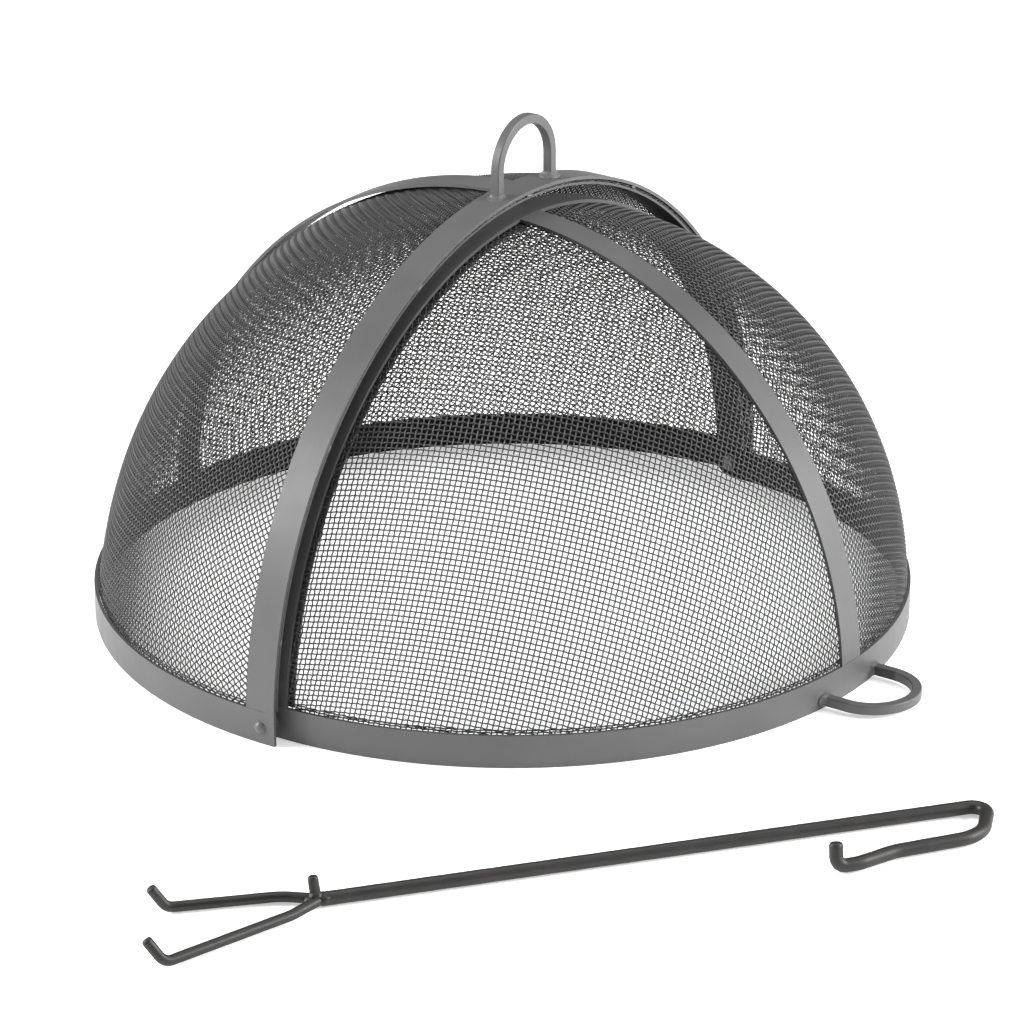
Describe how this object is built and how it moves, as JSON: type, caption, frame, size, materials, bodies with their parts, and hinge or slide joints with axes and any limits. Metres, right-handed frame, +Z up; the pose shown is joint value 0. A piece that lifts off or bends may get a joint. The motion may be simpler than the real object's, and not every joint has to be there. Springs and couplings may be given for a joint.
{
  "type": "fire pit spark screen",
  "caption": "Round two-half mesh spark screen dome for a fire pit, with a flat-bar ring, a pivoting door half, lifting loops and a fork-ended lifting tool.",
  "frame": {"origin": "centre of the fixed half's ring, at the ring's bottom edge", "axes": "+Z up, +X towards the middle of the door half, hinge line along Y"},
  "size_m": [1.0606, 1.2225, 0.4913],
  "materials": {
    "powder_coat": "satin mid-grey powder coat",
    "weld": "welds under the same powder coat",
    "rivet_steel": "rivet parts under the same powder coat",
    "wire_mesh": "dark grey coated crimped wire",
    "forged_black": "dull black coated round bar"
  },
  "bodies": {
    "fixed_half": {"fixed_band": "powder_coat", "fixed_arch_strap": "powder_coat", "fixed_arch_liner": "powder_coat", "fixed_arch_tacks": "weld", "fixed_rib": "powder_coat", "fixed_mesh_front": "wire_mesh", "fixed_mesh_rear": "wire_mesh", "fixed_hem_tacks": "weld", "lift_loop": "powder_coat", "lift_loop_welds": "weld", "pivot_rivet_front": "rivet_steel", "pivot_rivet_rear": "rivet_steel", "pivot_spacer_front": "rivet_steel", "pivot_spacer_rear": "rivet_steel", "pivot_washer_front": "rivet_steel", "pivot_washer_rear": "rivet_steel"},
    "door_half": {"door_band": "powder_coat", "door_arch_strap": "powder_coat", "door_arch_liner": "powder_coat", "door_arch_tacks": "weld", "door_rib": "powder_coat", "door_mesh_front": "wire_mesh", "door_mesh_rear": "wire_mesh", "door_hem_tacks": "weld", "door_handle": "powder_coat", "door_handle_welds": "weld"},
    "lifting_tool": {"tool_shaft": "forged_black", "tool_grip": "forged_black", "tool_fork": "forged_black", "tool_peg": "forged_black", "tool_fork_weld": "forged_black"}
  },
  "joints": [
    {"name": "door_hinge", "type": "hinge", "parent": "fixed_half", "child": "door_half", "pos_m": [0.005, 0, 0.01588], "axis": [0, -1, 0], "range_deg": [0, 87]},
    {"name": "tool_lift", "type": "slide", "parent": "fixed_half", "child": "lifting_tool", "axis": [0, 0, 1], "range_m": [0, 0.6]}
  ]
}
